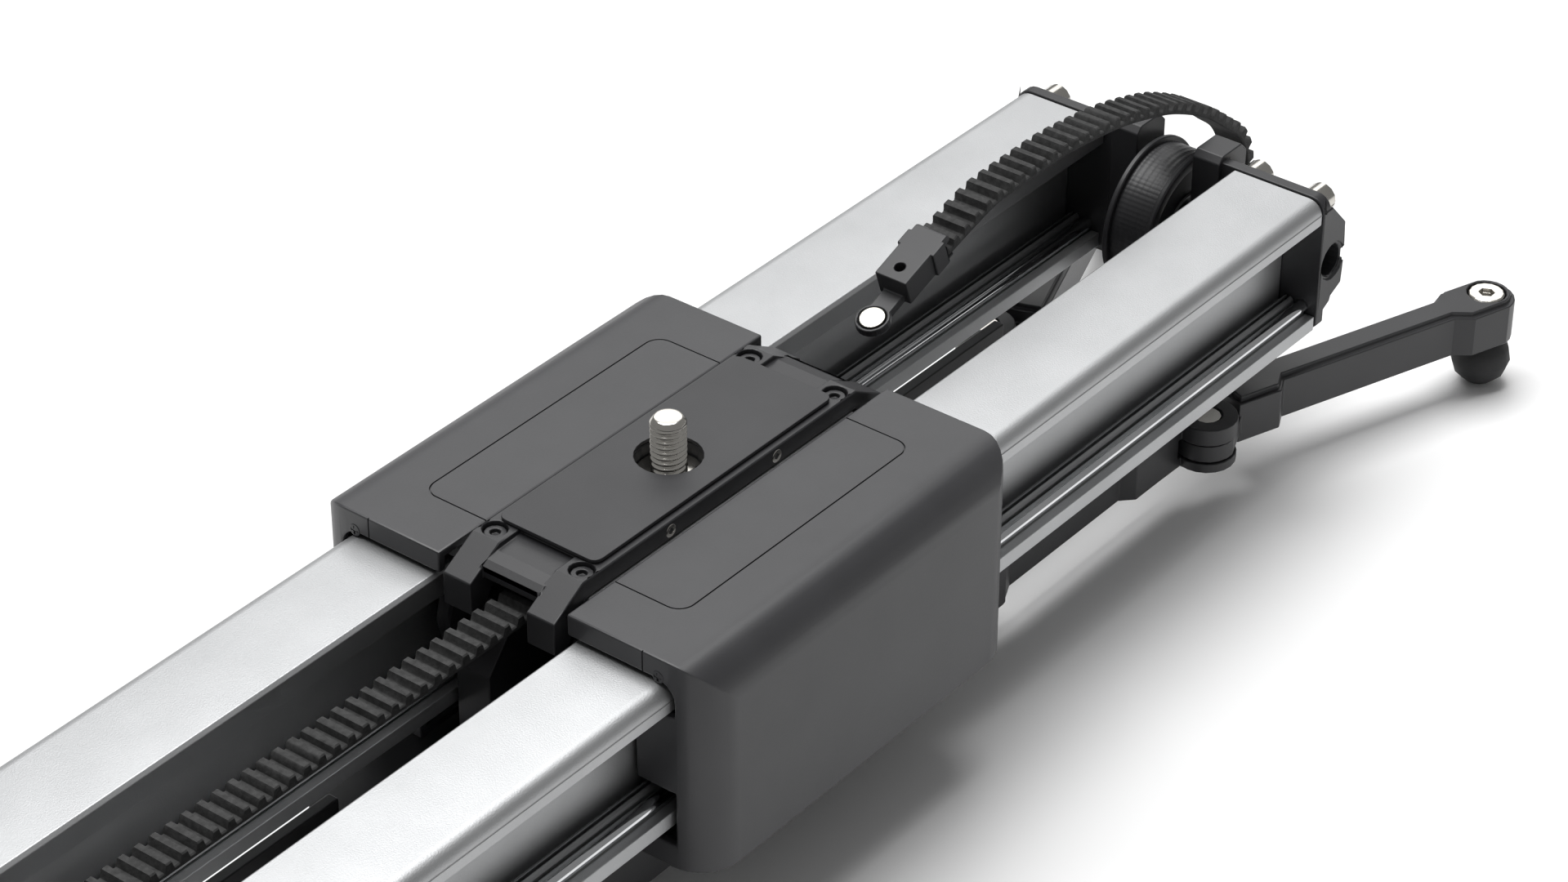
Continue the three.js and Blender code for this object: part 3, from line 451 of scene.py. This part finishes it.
def turned_ring(name, profile, centre, material, body, around=72, ripple=None):
    """A closed profile of (radius, y) turned about a line along Y through centre.
    ripple(angle, y, on_drum) adds to the radius."""
    a = np.linspace(0, 2 * np.pi, around, endpoint=False)[None, :]
    r, y = profile[:, :1] * np.ones_like(a), profile[:, 1:] * np.ones_like(a)
    if ripple is not None:
        r = r + ripple(a, y, profile[:, :1])
    x, z = r * np.cos(a) + centre[0], r * np.sin(a) + centre[1]
    points = np.stack([x, y, z], axis=-1) * MM
    return grid_piece(name, points, material, body, round_both=True)


def idler_profile():
    """Bore, hub, bearing groove, dished web, flange and drum, as one closed (r, y) outline."""
    half = np.array([
        [3.3, 7.1], [7.0, 7.1], [7.1, 6.7], [7.6, 6.1], [9.4, 6.1], [9.6, 6.6], [10.2, 6.7],
        [10.5, 6.2], [19.0, 6.1], [19.4, 7.5], [19.8, 7.7], [22.8, 7.7], [23.2, 7.3], [23.2, 6.3],
        [22.9, 6.0], [DRUM_R, 5.9],
    ])
    drum = np.stack([np.full(23, DRUM_R), np.linspace(5.7, -5.7, 23)], axis=1)
    return np.concatenate([half, drum, (half * [1, -1])[::-1]])


def knurl(angle, y, radius):
    """Two families of ridges crossing at right angles, as the height times the product of two
    waves: one runs with along + y, the other with along - y."""
    along_drum = DRUM_R * angle
    wave = (np.cos((along_drum + y) * 2 * np.pi / KNURL_PITCH)
            * np.cos((along_drum - y) * 2 * np.pi / KNURL_PITCH))
    return np.where(np.abs(radius - DRUM_R) < 0.05, KNURL_HEIGHT * wave, 0.0)


for end, x in (("near", -IDLER_X), ("far", IDLER_X)):
    wheel = turned_ring(f"{end}_knurled_idler", idler_profile(), (x, IDLER_Z), BLACK,
                        f"{end}_idler", 288, knurl)
    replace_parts(wheel, f"{end}_idler")

# %% [markdown]
# ## Covers
# The two covers are moulded shells. A shallow groove outlines the panel set into each top, and
# a fine parting line runs down the end faces. Both are cut as real grooves.

# %% Covers
def groove_cutter(outline, width, low, high):
    """A closed band round a rounded rectangle, from low to high: the outline offset by +-width/2."""
    forward = np.roll(outline, -1, axis=0) - np.roll(outline, 1, axis=0)
    forward /= np.linalg.norm(forward, axis=1, keepdims=True)
    side = np.stack([forward[:, 1], -forward[:, 0]], axis=1) * width / 2
    rings = [(outline - side, low), (outline + side, low), (outline + side, high), (outline - side, high)]
    points = np.stack([np.column_stack([p, np.full(len(p), z)]) for p, z in rings], axis=1) * MM
    return grid_piece("groove_cutter", points, NYLON, turn=0, round_both=True)


def rounded_rectangle(x0, x1, y0, y1, r, per_corner=10):
    """Four straight sides joined by quarter circles of radius r, anticlockwise."""
    corners = [(x1 - r, y0 + r, -90), (x1 - r, y1 - r, 0), (x0 + r, y1 - r, 90), (x0 + r, y0 + r, 180)]
    return np.concatenate([
        np.stack([cx + r * np.cos(a), cy + r * np.sin(a)], axis=1)
        for cx, cy, first in corners
        for a in [np.radians(np.linspace(first, first + 90, per_corner))]])


def cutting_box(low, high):
    """A plain rectangular cutter, used only to take material away."""
    (x0, y0, z0), (x1, y1, z1) = low, high
    ring = np.array([[x0, y0], [x1, y0], [x1, y1], [x0, y1]], float)
    points = np.stack([np.column_stack([ring, np.full(4, z)]) for z in (z0, z1)]) * MM
    return grid_piece("box_cutter", points, NYLON, turn=0)


for side, s in (("left", 1), ("right", -1)):
    y0, y1 = sorted((s * 12.0, s * 42.0))
    panel = groove_cutter(rounded_rectangle(-45.9, 45.9, y0, y1, 4.5), 0.45, 97.3, 99.0)
    cutters = [panel]
    for e in (-1, 1):
        xa, xb = sorted((e * 63.1, e * 65.0))
        ya, yb = sorted((s * 44.0, s * 44.4))
        cutters.append(cutting_box((xa, ya, 91.8), (xb, yb, 99)))
    finish_frame_piece(f"{side}_cover", NYLON, "carriage", 0.55, f"{side}_moulded_cover", cutters)
print("covers done")

# %% [markdown]
# ## Other frame pieces
# Each remaining node keeps its shape and gets the finish of its material, with an edge break
# that suits how it is made: wide on machined blocks, small on turned steel.

# %% Other frame pieces
TAKEN = {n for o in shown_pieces() for n in o.get("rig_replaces", [])}
FINISH = {
    "silver_anodised": (SILVER, 0.25), "black_anodised": (BLACK, 0.4),
    "polished_steel": (STEEL, 0.25), "black_rubber": (RUBBER, 0.0), "cover_black": (GRIP, 0.2),
}
SLOT = {s["node"]: s["material_slot"] for s in frame["record"]["subparts"]}
for body, members in frame["record"]["behaviour"]["bodies"].items():
    for node in members:
        if node in TAKEN:
            continue
        material, edge = FINISH[SLOT[node]]
        if node.endswith("_rod"):
            material, edge = CHROME, 0.0
        if node == "clip_magnet":
            material = MAGNET
        is_turned = SLOT[node] == "polished_steel" or node.startswith("foot_") or "roller" in node
        is_milled = node in ("top_frame", "belt_clip")
        turn = 32 if is_turned else 8 if is_milled else 20
        finish_frame_piece(node, material, body, edge, turn=turn)

# %% [markdown]
# ## Small screws
# Countersunk cross-head screws hold the covers' ends, and two socket set screws lock the plate
# from the side. A head is a disc whose face drops wherever its driver goes in, so height is a
# function of the place on the face.

# %% Small screws
HEAD_DROP = 0.7


def in_cross(v, w):
    """True inside a cross 0.56 mm wide and 2.3 mm across."""
    return ((np.abs(v) < 0.28) | (np.abs(w) < 0.28)) & (np.hypot(v, w) < 1.15)


def in_hexagon(v, w):
    """True where the distance along each of three directions 60 degrees apart is under 0.8 mm."""
    turns = np.radians([0, 60, 120])
    return np.max([np.abs(v * np.cos(t) + w * np.sin(t)) for t in turns], axis=0) < 0.8


def recessed_head(name, centre, axis, facing, radius, recess, material):
    """A disc facing along X (axis 0) or Y (axis 1), in which the face drops where recess is true."""
    r = np.concatenate([[radius, radius, radius - 0.12], np.linspace(radius - 0.2, 0.02, 22)])
    a = np.linspace(0, 2 * np.pi, 60, endpoint=False)[None, :]
    v, w = r[:, None] * np.cos(a), r[:, None] * np.sin(a)
    height = np.where(recess(v, w), -HEAD_DROP, 0.0)
    height[0], height[1] = -1.2, -0.1
    out, across = centre[axis] + facing * height, centre[1 - axis] + v
    pair = [out, across] if axis == 0 else [across, out]
    points = np.stack([*pair, centre[2] + w], axis=-1) * MM
    return grid_piece(name, points, material, "carriage")


for side, s in (("left", 1), ("right", -1)):
    for end, e in (("near", -1), ("far", 1)):
        recessed_head(f"cover_screw_{end}_{side}", (e * 63.65, s * 49.0, 92.4), 0, e, 1.7, in_cross, BLACK)
    for end, e in (("near", -1), ("far", 1)):
        recessed_head(f"plate_set_screw_{end}_{side}", (e * 21.0, s * 18.15, 98.0), 1, s, 1.8,
                      in_hexagon, STEEL)
print("small screws: 8")
